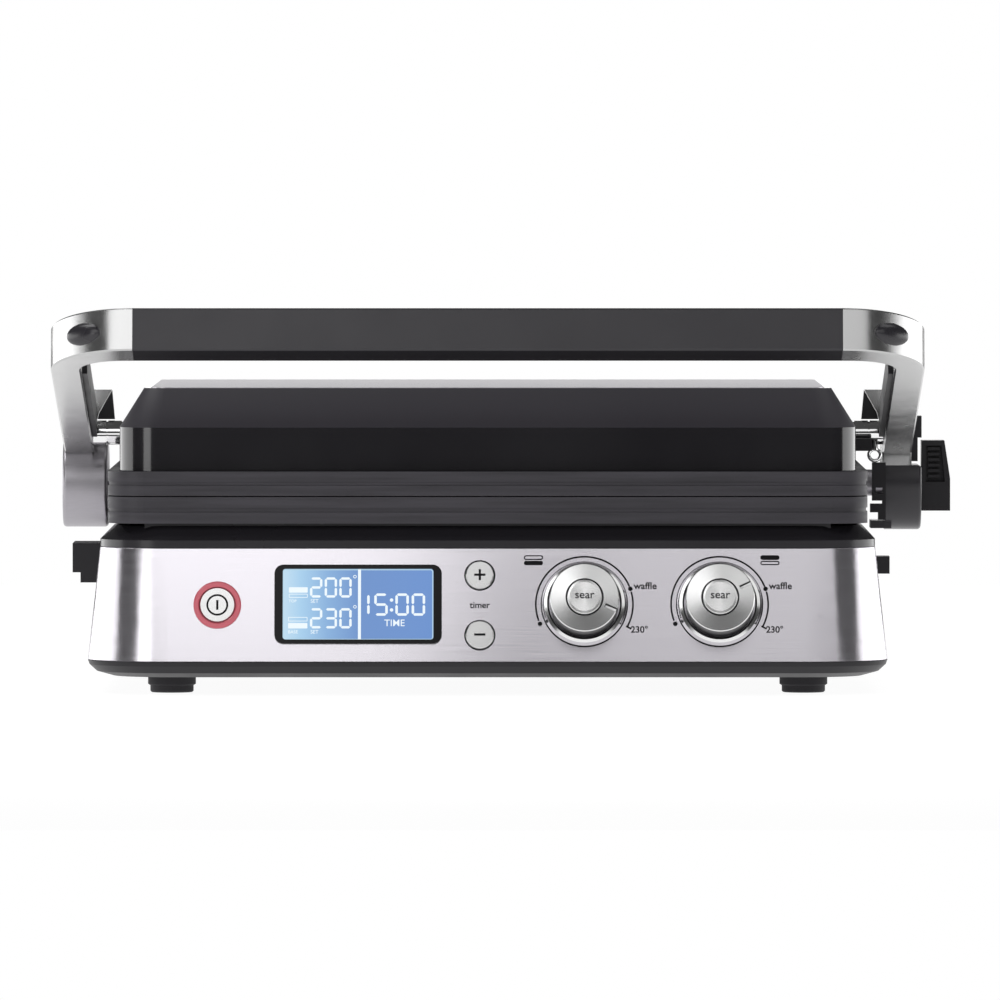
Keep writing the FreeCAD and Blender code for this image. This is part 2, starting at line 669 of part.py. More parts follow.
def rest_pads():
    """Oval feet let into the outer corners of the bow; the open grill stands on them."""
    lens = Part.makeSphere(1.0)
    stretch = FreeCAD.Matrix()
    stretch.scale(9.6, 3.2, 4.9)
    lens = lens.transformGeometry(stretch)
    lens.rotate(Vector(0, 0, 0), Vector(0, 0, 1), 42)
    lens.translate(Vector(176.6, 9.6, 9.0))
    pad = on_arm(lens).cut(arm())
    outside = max(pad.Solids, key=lambda solid: -solid.CenterOfMass.y + solid.CenterOfMass.x)
    return [outside, mirrored(outside)]


def latch_link():
    """Chrome link and ring between the right pivot and the black strap."""
    stem = rod(1.5, Vector(175.0, 236.0, 101.6), Vector(175.0, 236.0, PIVOT_Z - 3))
    ring = Part.makeTorus(2.6, 0.8, Vector(175.0, 236.0, 99.4), Vector(0, 1, 0))
    pin = cross_rod(PIVOT_RADIUS, 160, 185, PIVOT_Y, PIVOT_Z)
    return stem.fuse(ring).cut(pin)


def latch_strap():
    strap = box(173.8, 180.0, 234.6, 238.4, 78.7, 96.0)
    window = box(175.6, 178.6, 230, 240, 81.6, 84.6)
    hook = box(173.0, 180.0, 234.6, 240.6, 70.0, 77.3).cut(
        box(172.0, 176.6, 230, 245, 69.0, 73.4))
    stalk = box(178.4, 180.0, 234.6, 238.4, 76.0, 80.0)
    tie = box(176.5, 180.0, 238.0, 254.0, 86.0, 92.0)
    return fuse([strap.cut(window), hook, stalk, tie])


def release_lever():
    """Right-hand lever with a framed, ribbed thumb recess above a smooth band."""
    blank = prism_xz([(197.2, 73.3), (210.2, 73.3), (210.2, 88.0), (207.6, 105.2),
                      (197.2, 105.2)], 266.0, 281.0)
    recess = prism_xz([(199.0, 86.4), (207.8, 86.4), (206.2, 103.0), (199.0, 103.0)], 265.0, 269.4)
    blank = blank.cut(recess)
    ribs = [box(200.2, 205.4, 266.8, 270.0, z, z + 1.3) for z in (88.4, 90.9, 93.4, 95.9, 98.4, 100.9)]
    blank = fuse([blank] + ribs)
    return blank.cut(cross_rod(3.0 + RUNNING, 190, 207.2, *LEVER_PIVOT))


def height_lock():
    """Small knob on a thin leaf that pivots on the outside of the right arm."""
    grip = box(193.0, 196.9, 256.0, 268.0, 106.8, 116.6)
    leaf = box(192.3, 195.2, 258.5, 265.5, 96.0, 107.5)
    lever = fuse([grip, leaf])
    return lever.cut(cross_rod(2.5 + RUNNING, 190, 196, *LOCK_PIVOT))


# ---- lid ----

def lid_shell():
    """Hollow glossy lid: upright wall, sloped shoulders with faceted corners, flat top."""
    def skin(inset):
        return loft(
            outline(LID_HALF - inset, LID_FRONT + inset, LID_REAR - inset,
                    18 - inset, 3.5 - inset, UPPER_PLATE[1]),
            outline(LID_HALF - inset, LID_FRONT + inset, LID_REAR - inset,
                    18 - inset, 3.5 - inset, LID_WALL_TOP),
            outline(LID_TOP_HALF - inset, LID_TOP_FRONT + inset, LID_TOP_REAR - inset,
                    9 - inset, 3.4 - inset, LID_TOP - inset))
    shell = skin(0).cut(skin(PLASTIC))
    recess = slab(LID_TOP_HALF - 3, LID_TOP_FRONT + 3, LID_TOP_REAR - 3, 7,
                  LID_TOP - STEEL, LID_TOP + 1)
    holes = [cross_rod(PIVOT_RADIUS + RUNNING, side * 150, side * 170, PIVOT_Y, PIVOT_Z)
             for side in (-1, 1)]
    return shell.cut(fuse([recess] + holes))


def lid_top_plate():
    return slab(LID_TOP_HALF - 3, LID_TOP_FRONT + 3, LID_TOP_REAR - 3, 7,
                LID_TOP - STEEL, LID_TOP + 0.2)


def lid_frame():
    """Ring inside the lid's rim that the upper plate clips to."""
    wall_inset = PLASTIC + 0.1
    outside = slab(LID_HALF - wall_inset, LID_FRONT + wall_inset, LID_REAR - wall_inset, 16,
                   UPPER_PLATE[1], UPPER_PLATE[1] + 4)
    inside = slab(LID_HALF - 9, LID_FRONT + 9, LID_REAR - 9, 9, 90, 120)
    return outside.cut(inside)


def pivot_bushes():
    ring = cross_rod(BUSH_RADIUS, PIVOT_INNER + 1, LID_HALF - PLASTIC, PIVOT_Y, PIVOT_Z).cut(
        cross_rod(PIVOT_RADIUS + RUNNING, 140, 170, PIVOT_Y, PIVOT_Z))
    return [ring, mirrored(ring)]


def upper_insulation():
    pad = slab(145, 40, 232, 12, 107.6, 118.0)
    holes = [rod(5.5, Vector(x, TERMINAL_Y, 100), Vector(x, TERMINAL_Y, 125)) for x in TERMINAL_X]
    return pad.cut(fuse(holes))


def lid_bracket():
    return box(LID_HALF, 173.5, 222.0, 233.0, 101.5, 107.0)


# ---- front panel ----

def dial_rings():
    profile = [(RING_BORE, 0), (RING_RADIUS, 0), (RING_RADIUS, 1.0), (17.6, 3.0), (16.3, 3.4),
               (RING_BORE, 2.6)]
    return [on_panel(turned(profile), x, KNOB_Z) for x in KNOBS.values()]


POINTER_REACH = (9.6, 15.6)
POINTER_WIDTH = 1.7
POINTER_FLOOR = KNOB_HEIGHT - 2.2


def knob(x, pointer_angle):
    """Turning cap: a soft rim, a bore for the push button, a pointer slot and a shaft."""
    profile = [(0, -9.0), (2.95, -9.0), (2.95, 1.2), (KNOB_RADIUS - 0.6, 1.2),
               (KNOB_RADIUS - 0.3, 1.8), (KNOB_RADIUS, KNOB_HEIGHT - 2.4),
               (KNOB_RADIUS, KNOB_HEIGHT - 1.6), (KNOB_RADIUS - 0.4, KNOB_HEIGHT - 1.2),
               (SEAR_RADIUS + 0.25, KNOB_HEIGHT),
               (SEAR_RADIUS + 0.25, KNOB_HEIGHT - 6.6), (0, KNOB_HEIGHT - 6.6)]
    slot = box(*POINTER_REACH, -POINTER_WIDTH / 2, POINTER_WIDTH / 2,
               POINTER_FLOOR, KNOB_HEIGHT + 1)
    slot.rotate(Vector(0, 0, 0), Vector(0, 0, 1), pointer_angle)
    return on_panel(turned(profile).cut(slot), x, KNOB_Z)


def sear_button(x):
    top = KNOB_HEIGHT + 0.8
    profile = [(0, KNOB_HEIGHT - 4.8), (SEAR_RADIUS, KNOB_HEIGHT - 4.8),
               (SEAR_RADIUS, top - 0.9), (SEAR_RADIUS - 0.5, top - 0.2),
               (SEAR_RADIUS - 1.4, top), (0, top)]
    return on_panel(turned(profile), x, KNOB_Z)


def encoders():
    pieces = []
    for x in KNOBS.values():
        body = rounded_block(13, 13, 1, -12, -5).fuse(turned_disc(4.8, -5, -0.4))
        body = body.cut(turned_disc(2.95 + RUNNING, -11, 1))
        pieces.append(on_panel(body, x, KNOB_Z))
    return pieces


def power_ring():
    profile = [(8.0, -1.4), (POWER_RADIUS, -1.4), (POWER_RADIUS, 0.7), (9.9, 1.1), (8.5, 1.1),
               (8.0, 0.7)]
    return on_panel(turned(profile), POWER_X, POWER_Z)


def push_cap(radius, z_low, z_high):
    return turned([(0, z_low), (radius, z_low), (radius, z_high - 0.5), (radius - 0.5, z_high),
                   (0, z_high)])


def power_button():
    return on_panel(push_cap(7.85, -3.0, 0.8), POWER_X, POWER_Z)


def timer_button(z):
    return on_panel(push_cap(TIMER_RADIUS, -3.0, 1.7), TIMER_X, z)


def key_switches():
    stations = [(POWER_X, POWER_Z)] + [(TIMER_X, z) for z in TIMER_BUTTONS.values()]
    switch = rounded_block(6, 6, 0.5, -12, -7).fuse(turned_disc(1.8, -7, -4.8))
    return [on_panel(switch, x, z) for x, z in stations]


def display_bezel():
    frame = rounded_block(*BEZEL, 4, -3.0, 1.0)
    return on_panel(frame.cut(rounded_block(*GLASS, 1.2, -5, 5)), DISPLAY_X, DISPLAY_Z)


def display_glass():
    return on_panel(rounded_block(*GLASS, 1.2, -1.6, -0.4), DISPLAY_X, DISPLAY_Z)


def display_module():
    return on_panel(rounded_block(70, 33, 1, -12, -3.1), DISPLAY_X, DISPLAY_Z)


def control_board():
    return on_panel(rounded_block(262, 40, 2, -13.6, -12), -2, 39.0)


# ---- electrics in the base ----

def power_board():
    board = box(-122, 22, 62, 158, 16, 17.6)
    parts = [box(-112, -72, 74, 114, 17.6, 44), box(-60, -44, 70, 98, 17.6, 33),
             box(-38, -22, 70, 98, 17.6, 33)]
    for x in (-10, 6):
        parts.append(rod(6, Vector(x, 84, 17.6), Vector(x, 84, 40)))
    return fuse([board] + parts)


def terminal_block():
    block = box(70, 110, 196, 212, FLOOR_Z, 27)
    slots = [box(x - 3, x + 3, 199, 209, 20, 28) for x in (77, 90, 103)]
    return block.cut(fuse(slots))


def release_left():
    """Large plate release: a stepped push block with its stem inside the base."""
    y_low, y_high = RELEASE_LEFT["y"]
    z_low, z_high = RELEASE_LEFT["z"]
    block = box(-184.0, -163.0, y_low, y_high, z_low + 4.5, z_high - 0.6)
    step = box(-180.5, -163.0, y_low, y_high, z_low, z_low + 4.6)
    return fuse([block, step])


def release_right():
    y_low, y_high = RELEASE_RIGHT["y"]
    z_low, z_high = RELEASE_RIGHT["z"]
    return box(161.0, 180.6, y_low, y_high, z_low, z_high)


def pieces():
    """Every sub-part by name: one solid, or a list of identical or mirrored solids."""
    parts = {
        "feet": feet(), "bottom_cover": bottom_cover(), "base_screws": base_screws(),
        "fascia": fascia(), "rear_panel": rear_panel(), "rear_housing": rear_housing(),
        "cord_gland": cord_gland(), "deck": deck(), "carriage_guides": guides(),
        "grease_tray": grease_tray(),
        "lower_plate": lower_plate(), "upper_plate": plate(*UPPER_PLATE, False),
        "lower_element": element(LOWER_ELEMENT_Z, 44.0),
        "upper_element": element(UPPER_ELEMENT_Z, 124.0),
        "lower_reflector": reflector(66.3, LOWER_ELEMENT_Z - ELEMENT_RADIUS),
        "upper_reflector": reflector(106.6, UPPER_ELEMENT_Z + ELEMENT_RADIUS),
        "lower_thermostat": placed_at(thermostat(), 0, 131),
        "carriage_blocks": carriage(), "carriage_rod": carriage_rod(),
        "handle_grip": handle_grip(), "handle_core": handle_core(),
        "arm_left": arm_left(), "arm_right": arm_right(),
        "hub_left": hub_left(), "hub_right": hub_right(), "hinge_shafts": hinge_shafts(),
        "lid_pivots": lid_pivots(), "stop_leaves": stop_leaves(),
        "stop_bumpers": stop_bumpers(), "arm_liners": arm_liners(), "rest_pads": rest_pads(),
        "latch_link": latch_link(), "latch_strap": latch_strap(),
        "release_lever": release_lever(), "height_lock": height_lock(),
        "lid_shell": lid_shell(), "lid_top_plate": lid_top_plate(), "lid_frame": lid_frame(),
        "pivot_bushes": pivot_bushes(), "upper_insulation": upper_insulation(),
        "lid_bracket": lid_bracket(),
        "dial_rings": dial_rings(), "encoders": encoders(), "power_ring": power_ring(),
        "power_button": power_button(), "key_switches": key_switches(),
        "display_bezel": display_bezel(), "display_glass": display_glass(),
        "display_module": display_module(), "control_board": control_board(),
        "power_board": power_board(), "terminal_block": terminal_block(),
        "release_left": release_left(), "release_right": release_right(),
    }
    for name, x in KNOBS.items():
        parts["knob_" + name] = knob(x, POINTER_ANGLES[name])
        parts["sear_button_" + name] = sear_button(x)
    for name, z in TIMER_BUTTONS.items():
        parts[name + "_button"] = timer_button(z)
    return parts


os.makedirs("parts", exist_ok=True)
whole = FreeCAD.BoundBox()
for node, made in pieces().items():
    shape = Part.makeCompound(made) if isinstance(made, list) else made
    shape.translate(ORIGIN * -1)
    shape.exportStep("parts/%s.step" % node)
    whole.add(shape.BoundBox)
print("overall box, mm:", whole)
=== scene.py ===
import math

import bmesh
import bpy
from mathutils import Matrix, Vector


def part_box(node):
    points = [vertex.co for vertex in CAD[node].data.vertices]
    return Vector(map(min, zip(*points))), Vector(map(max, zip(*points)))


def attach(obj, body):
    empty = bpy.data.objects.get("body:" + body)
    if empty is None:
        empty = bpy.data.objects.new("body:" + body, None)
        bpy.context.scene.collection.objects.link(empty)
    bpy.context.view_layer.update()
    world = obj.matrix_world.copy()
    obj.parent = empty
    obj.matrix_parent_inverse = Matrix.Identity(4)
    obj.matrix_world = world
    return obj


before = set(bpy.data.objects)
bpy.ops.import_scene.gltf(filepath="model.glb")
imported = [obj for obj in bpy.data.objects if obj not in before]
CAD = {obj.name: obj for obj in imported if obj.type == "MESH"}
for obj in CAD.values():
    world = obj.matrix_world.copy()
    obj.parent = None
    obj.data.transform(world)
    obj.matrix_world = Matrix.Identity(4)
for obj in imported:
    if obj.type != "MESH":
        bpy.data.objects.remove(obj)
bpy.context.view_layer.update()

MM = 0.001


# ---- stations on the object, from the frame ----

def box(node):
    low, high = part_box(node)
    return Vector(low), Vector(high)


def centre(node):
    low, high = box(node)
    return (low + high) / 2


FASCIA_LOW, FASCIA_HIGH = box("fascia")
PANEL_RUN = 11.4 * MM
STEEL_EASE = 0.4 * MM
SEAR_DEPTH = 15.0 * MM
PANEL_LEAN = math.atan2(PANEL_RUN, FASCIA_HIGH.z - FASCIA_LOW.z)
OUTWARD = Vector((0, -math.cos(PANEL_LEAN), math.sin(PANEL_LEAN)))
UPWARD = Vector((0, math.sin(PANEL_LEAN), math.cos(PANEL_LEAN)))


def panel_frame(x, z, out=0.0):
    """Matrix whose z axis points out of the front panel at station x, z, lifted by out."""
    y = FASCIA_LOW.y + (z - FASCIA_LOW.z - STEEL_EASE) * math.tan(PANEL_LEAN)
    place = Vector((x, y, z)) + OUTWARD * out
    rotation = Matrix((Vector((1, 0, 0)), UPWARD, OUTWARD)).transposed().to_4x4()
    return Matrix.Translation(place) @ rotation


def panel_station(node, depth):
    """Station x, z on the panel of a round or square node whose middle is depth above it."""
    middle = centre(node) - OUTWARD * depth
    return middle.x, middle.z


# ---- node helpers ----

EVEN = (1, 1, 1)
MICRON = 0.000001
NOISE_LOW, NOISE_HIGH = 0.3, 0.7
NOISE_ROUGHNESS = 0.6


def shader_of(material):
    return material.node_tree.nodes["Principled BSDF"]


def new_material(name, colour, metallic=0.0, roughness=0.5, **sockets):
    material = bpy.data.materials.new(name)
    material.use_nodes = True
    inputs = shader_of(material).inputs
    inputs["Base Color"].default_value = (*colour, 1)
    inputs["Metallic"].default_value = metallic
    inputs["Roughness"].default_value = roughness
    for socket, value in sockets.items():
        inputs[socket.replace("_", " ")].default_value = value
    return material


def add_node(material, kind, **values):
    node = material.node_tree.nodes.new(kind)
    for name, value in values.items():
        if name in node.inputs:
            node.inputs[name].default_value = value
        else:
            setattr(node, name, value)
    return node


def link(material, source, output, target, socket):
    material.node_tree.links.new(source.outputs[output], target.inputs[socket])


def stretched_noise(material, scale, detail, stretch=EVEN):
    """Noise in the object's own metres, drawn out along the axes with small stretch values."""
    coordinates = add_node(material, "ShaderNodeTexCoord")
    mapping = add_node(material, "ShaderNodeMapping", Scale=stretch)
    noise = add_node(material, "ShaderNodeTexNoise", Scale=scale, Detail=detail,
                     Roughness=NOISE_ROUGHNESS)
    link(material, coordinates, "Object", mapping, "Vector")
    link(material, mapping, "Vector", noise, "Vector")
    return noise


def vary(material, noise, socket, low, high):
    """Drives one number of the shader from a noise, between low and high."""
    span = add_node(material, "ShaderNodeMapRange")
    span.inputs["From Min"].default_value = NOISE_LOW
    span.inputs["From Max"].default_value = NOISE_HIGH
    span.inputs["To Min"].default_value = low
    span.inputs["To Max"].default_value = high
    link(material, noise, "Fac", span, "Value")
    link(material, span, "Result", shader_of(material), socket)


def tint(material, noise, low_colour, high_colour):
    """Drives the base colour from a noise, between two colours."""
    ramp = add_node(material, "ShaderNodeValToRGB")
    stops = ((NOISE_LOW, low_colour), (NOISE_HIGH, high_colour))
    for element, (position, colour) in zip(ramp.color_ramp.elements, stops):
        element.position = position
        element.color = (*colour, 1)
    link(material, noise, "Fac", ramp, "Fac")
    link(material, ramp, "Color", shader_of(material), "Base Color")


def bump(material, noise, strength, distance):
    relief = add_node(material, "ShaderNodeBump", Strength=strength, Distance=distance)
    link(material, noise, "Fac", relief, "Height")
    link(material, relief, "Normal", shader_of(material), "Normal")


# ---- colours ----

def neutral(grey):
    return (grey, grey, grey * 1.01)


def cool(grey):
    """The object's brushed metals lean very slightly to violet."""
    return (grey, grey * 0.965, grey * 1.03)


def dark(grey):
    """The object's black plastics lean very slightly to violet."""
    return (grey, grey * 0.93, grey * 1.12)


# ---- kinds of material ----

def brushed(name, grey, stretch, roughness=0.3, shade=0.05, relief=0.1, **sockets):
    """Metal with a fine directional grain; stretch is small along the grain."""
    material = new_material(name, cool(grey), 1.0, roughness, **sockets)
    grain = stretched_noise(material, 3600, 2, stretch)
    tint(material, grain, cool(grey - shade), cool(grey + shade))
    vary(material, grain, "Roughness", roughness - 0.03, roughness + 0.03)
    bump(material, grain, relief, 20 * MICRON)
    return material


def lengthwise(material):
    """Tangent for highlights that spread across a grain running left to right."""
    tangent = add_node(material, "ShaderNodeTangent", direction_type="RADIAL", axis="X")
    link(material, tangent, "Tangent", shader_of(material), "Tangent")
    return material


def polished(name, grey, roughness):
    """Hand-polished cast metal: a soft cloudiness and hardly any relief."""
    material = new_material(name, neutral(grey), 1.0, roughness)
    cloud = stretched_noise(material, 60, 4)
    tint(material, cloud, (grey - 0.02,) * 3, (grey + 0.02,) * 3)
    vary(material, cloud, "Roughness", roughness - 0.03, roughness + 0.04)
    grit = stretched_noise(material, 3000, 2)
    bump(material, grit, 0.03, 20 * MICRON)
    return material


def turned_metal(name, node, grey, roughness):
    """Metal faced on a lathe: fine rings about the dial's own axis and fan-shaped highlights."""
    hub = panel_frame(*panel_station(node, SEAR_DEPTH)).translation
    material = new_material(name, neutral(grey), 1.0, roughness, Anisotropic=0.7)
    coordinates = add_node(material, "ShaderNodeTexCoord")
    arm = add_node(material, "ShaderNodeVectorMath", operation="SUBTRACT")
    arm.inputs[1].default_value = hub
    link(material, coordinates, "Object", arm, "Vector")
    around_axis = add_node(material, "ShaderNodeVectorMath", operation="CROSS_PRODUCT")
    around_axis.inputs[1].default_value = OUTWARD
    link(material, arm, "Vector", around_axis, "Vector")
    turn = add_node(material, "ShaderNodeVectorTransform", vector_type="VECTOR",
                    convert_from="OBJECT", convert_to="WORLD")
    link(material, around_axis, "Vector", turn, "Vector")
    link(material, turn, "Vector", shader_of(material), "Tangent")
    reach = add_node(material, "ShaderNodeVectorMath", operation="LENGTH")
    link(material, around_axis, "Vector", reach, "Vector")
    rings = add_node(material, "ShaderNodeTexNoise", noise_dimensions="1D", Scale=4200, Detail=2)
    link(material, reach, "Value", rings, "W")
    tint(material, rings, (grey - 0.04,) * 3, (grey + 0.04,) * 3)
    bump(material, rings, 0.08, 20 * MICRON)
    return material


def moulded(name, grey, roughness, grain_scale=2600, strength=0.12, **sockets):
    """Moulded plastic with a fine spark-eroded grain and slight gloss variation."""
    material = new_material(name, dark(grey), 0.0, roughness, **sockets)
    grain = stretched_noise(material, grain_scale, 2)
    bump(material, grain, strength, 40 * MICRON)
    cloud = stretched_noise(material, 30, 3)
    vary(material, cloud, "Roughness", roughness - 0.04, roughness + 0.05)
    return material


def glossy(name, grey, roughness, **sockets):
    """Smooth lacquered black with a faint orange-peel waviness."""
    material = new_material(name, dark(grey), 0.0, roughness, **sockets)
    peel = stretched_noise(material, 160, 2)
    bump(material, peel, 0.03, 100 * MICRON)
    cloud = stretched_noise(material, 14, 3)
    vary(material, cloud, "Roughness", roughness - 0.03, roughness + 0.04)
    return material


def cooking_surface(name):
    """Cast aluminium under a dark non-stick coat: long fine streaks and tiny pits."""
    material = new_material(name, dark(0.04), 0.0, 0.5, Specular_IOR_Level=0.4)
    streaks = stretched_noise(material, 420, 4, (0.04, 0.04, 1))
    tint(material, streaks, dark(0.03), dark(0.052))
    vary(material, streaks, "Roughness", 0.42, 0.62)
    pits = stretched_noise(material, 1400, 2)
    bump(material, pits, 0.25, 50 * MICRON)
    return material


def fibrous(name, colour, roughness):
    """Circuit board or ceramic felt, with a coarse matt surface."""
    material = new_material(name, colour, 0.0, roughness)
    bump(material, stretched_noise(material, 900, 3), 0.3, 100 * MICRON)
    return material


def printed(name, colour, roughness, **sockets):
    """Coloured plastic or ink, with a faint unevenness of gloss and surface."""
    material = new_material(name, colour, 0.0, roughness, **sockets)
    grain = stretched_noise(material, 1800, 2)
    vary(material, grain, "Roughness", roughness - 0.05, roughness + 0.05)
    bump(material, grain, 0.05, 20 * MICRON)
    return material


def lit_material(name, colour, strength):
    """A display figure that glows by itself."""
    material = new_material(name, (0.02, 0.02, 0.02), 0.0, 0.25, Emission_Strength=strength)
    shader_of(material).inputs["Emission Color"].default_value = (*colour, 1)
    vary(material, stretched_noise(material, 1800, 2), "Roughness", 0.2, 0.3)
    return material


def backlit_window(name, node, stops):
    """A lit screen whose colour runs through stops from its left edge to its right."""
    low, high = box(node)
    material = new_material(name, (0.01, 0.02, 0.04), 0.0, 0.12, Emission_Strength=0.93)
    coordinates = add_node(material, "ShaderNodeTexCoord")
    split = add_node(material, "ShaderNodeSeparateXYZ")
    span = add_node(material, "ShaderNodeMapRange")
    span.inputs["From Min"].default_value = low.x
    span.inputs["From Max"].default_value = high.x
    ramp = add_node(material, "ShaderNodeValToRGB")
    for position, colour in stops[1:-1]:
        ramp.color_ramp.elements.new(position)
    for element, (position, colour) in zip(ramp.color_ramp.elements, stops):
        element.position = position
        element.color = (*colour, 1)
    link(material, coordinates, "Object", split, "Vector")
    link(material, split, "X", span, "Value")
    link(material, span, "Result", ramp, "Fac")
    link(material, ramp, "Color", shader_of(material), "Emission Color")
    return material


# ---- the object's materials ----

LEVEL_GRAIN = (0.006, 0.006, 1)
DEEP_GRAIN = (0.006, 1, 1)
STEEL_PANEL = lengthwise(brushed("steel_panel", 0.72, LEVEL_GRAIN, 0.24, 0.05, 0.03, Anisotropic=0.75))
STEEL_TOP = lengthwise(brushed("steel_top", 0.72, DEEP_GRAIN, 0.30, 0.03, 0.05, Anisotropic=0.6))
POLISHED = polished("polished_metal", 0.54, 0.24)
CHROME = polished("chrome", 0.88, 0.05)
HUB = brushed("hub_metal", 0.42, (0.05, 1, 1), 0.38, 0.02)
RING = polished("ring_metal", 0.78, 0.14)
KEY_METAL = polished("key_metal", 0.62, 0.24)
KNOB_LOWER = turned_metal("turned_lower", "sear_button_lower", 0.74, 0.26)
KNOB_UPPER = turned_metal("turned_upper", "sear_button_upper", 0.74, 0.26)
KNOB_SIDE = moulded("knob_side", 0.012, 0.32)
PLAIN_STEEL = brushed("plain_steel", 0.5, (0.1, 1, 1), 0.38)
SHEATH = brushed("heater_sheath", 0.22, EVEN, 0.5)
REFLECTOR = brushed("reflector", 0.7, (0.05, 1, 1), 0.28)
GRIP = moulded("grip_plastic", 0.024, 0.38, 1800, 0.1)
# Darker, duller copy of the grip plastic for its downward faces: painted shade under the grip.
GRIP_UNDER_PAINTED_SHADE = moulded("grip_under_painted_shade", 0.016, 0.75, 1800, 0.2, Specular_IOR_Level=0.1)
# Black plastic, also used for the seam bands that are painted shade.
BLACK = moulded("black_plastic", 0.014, 0.42, Specular_IOR_Level=0.35)
BLACK_SATIN = moulded("black_satin", 0.026, 0.28)
RUBBER = moulded("rubber", 0.018, 0.72, 1800, 0.3)
LID_GLOSS = glossy("lid_gloss", 0.012, 0.13, Coat_Weight=0.3, Coat_Roughness=0.05)
# Lighter, duller copy of the lid's black for its sloping faces: painted light where the slope faces
# the light from above.
LID_SLOPE_PAINTED_LIGHT = glossy("lid_slope_painted_light", 0.05, 0.5)
DECK_GLOSS = glossy("deck_gloss", 0.018, 0.24)
BEZEL_GLOSS = glossy("bezel_gloss", 0.004, 0.16, Specular_IOR_Level=0.15)
PLATE = cooking_surface("plate_coating")
BOARD = fibrous("board_green", (0.03, 0.2, 0.08), 0.45)
CERAMIC = fibrous("ceramic_pad", (0.78, 0.76, 0.7), 0.9)
RING_RED = printed("ring_red", (0.62, 0.10, 0.14), 0.3, Coat_Weight=0.3)
# Black print, also used for the black rings and the slot floor that are painted shade in gaps and
# recesses.
PRINT_AND_SHADE_BLACK = moulded("print_and_painted_shade_black", 0.006, 0.6, Specular_IOR_Level=0.15)
PRINT_WHITE = printed("print_white", (0.85, 0.85, 0.86), 0.45)
LIT = lit_material("display_lit", (0.86, 0.95, 1.0), 0.95)
LIT_EDGE = lit_material("display_lit_edge", (0.5, 0.72, 0.88), 0.9)
WINDOW = backlit_window("display_window", "display_glass", [
    (0.0, (0.52, 0.72, 0.86)), (0.12, (0.36, 0.60, 0.82)), (0.3, (0.21, 0.40, 0.68)),
    (0.52, (0.115, 0.25, 0.56)), (1.0, (0.12, 0.26, 0.60))])

LOOKS = {
    "feet": RUBBER, "stop_bumpers": BLACK, "bottom_cover": BLACK, "base_screws": PLAIN_STEEL,
    "fascia": STEEL_PANEL, "rear_panel": BLACK, "rear_housing": BLACK, "cord_gland": BLACK_SATIN,
    "deck": DECK_GLOSS, "carriage_guides": BLACK, "grease_tray": BLACK_SATIN,
    "lower_plate": PLATE, "upper_plate": PLATE, "lower_element": SHEATH, "upper_element": SHEATH,
    "lower_reflector": REFLECTOR, "upper_reflector": REFLECTOR, "lower_thermostat": CERAMIC,
    "carriage_blocks": PLAIN_STEEL, "carriage_rod": PLAIN_STEEL, "handle_grip": GRIP,
    "handle_core": PLAIN_STEEL, "arm_left": POLISHED, "arm_right": POLISHED, "hub_left": HUB,
    "hub_right": BLACK_SATIN, "hinge_shafts": PLAIN_STEEL, "lid_pivots": CHROME,
    "stop_leaves": POLISHED, "arm_liners": BLACK, "rest_pads": BLACK_SATIN,
    "latch_link": CHROME, "latch_strap": BLACK, "release_lever": BLACK, "height_lock": BLACK,
    "lid_shell": LID_GLOSS, "lid_top_plate": STEEL_TOP, "lid_frame": BLACK,
    "pivot_bushes": PLAIN_STEEL, "upper_insulation": CERAMIC, "lid_bracket": BLACK,
    "dial_rings": RING, "encoders": BLACK, "power_button": KEY_METAL, "power_ring": RING_RED,
    "key_switches": BLACK, "display_bezel": BEZEL_GLOSS, "display_glass": WINDOW,
    "display_module": BLACK, "control_board": BOARD, "power_board": BOARD,
    "terminal_block": BLACK, "release_left": BLACK, "release_right": BLACK,
    "knob_lower": KNOB_LOWER, "knob_upper": KNOB_UPPER, "sear_button_lower": KNOB_LOWER,
    "sear_button_upper": KNOB_UPPER, "plus_button": KEY_METAL, "minus_button": KEY_METAL,
}

for node, look in LOOKS.items():
    mesh = CAD[node].data
    mesh.materials.clear()
    mesh.materials.append(look)


# ---- thin marks: flat shapes, in millimetres on a plane, given a small thickness ----

PRINT = 0.05
MERGE_DISTANCE = 0.002 * MM
SHARP_ANGLE = math.radians(35)


def shifted(place, x, y, height=0.0):
    """The same plane, moved by millimetres along itself and outwards."""
    return place @ Matrix.Translation((x * MM, y * MM, height * MM))


def add_piece(name, shape, place, look, body):
    """One new object from a bmesh or mesh drawn about the origin, put in its place."""
    mesh = bpy.data.meshes.new(name)
    if isinstance(shape, bmesh.types.BMesh):
        shape.to_mesh(mesh)
        shape.free()
    else:
        mesh = shape
        mesh.name = name
    mesh.transform(place)
    mesh.materials.clear()
    mesh.materials.append(look)
    piece = bpy.data.objects.new(name, mesh)
    bpy.context.collection.objects.link(piece)
    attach(piece, body)
    return piece


def around(x, y, radius, start=0.0, end=360.0, step=6.0):
    """Points on an arc from start to end, in degrees anticlockwise from the right."""
    count = max(2, round(abs(end - start) / step))
    turns = [math.radians(start + (end - start) * i / count) for i in range(count + 1)]
    return [(x + radius * math.cos(turn), y + radius * math.sin(turn)) for turn in turns]


def on_circle(radius, angle):
    turn = math.radians(angle)
    return radius * math.cos(turn), radius * math.sin(turn)


def disc(x, y, radius):
    return [around(x, y, radius)[:-1]]


def band(inner, outer):
    """Four-sided strips between two rows of points."""
    rows = list(zip(inner, outer))
    return [[a, b, d, c] for (a, b), (c, d) in zip(rows, rows[1:])]


def ring(x, y, radius, width, start=0.0, end=360.0):
    return band(around(x, y, radius - width / 2, start, end),
                around(x, y, radius + width / 2, start, end))


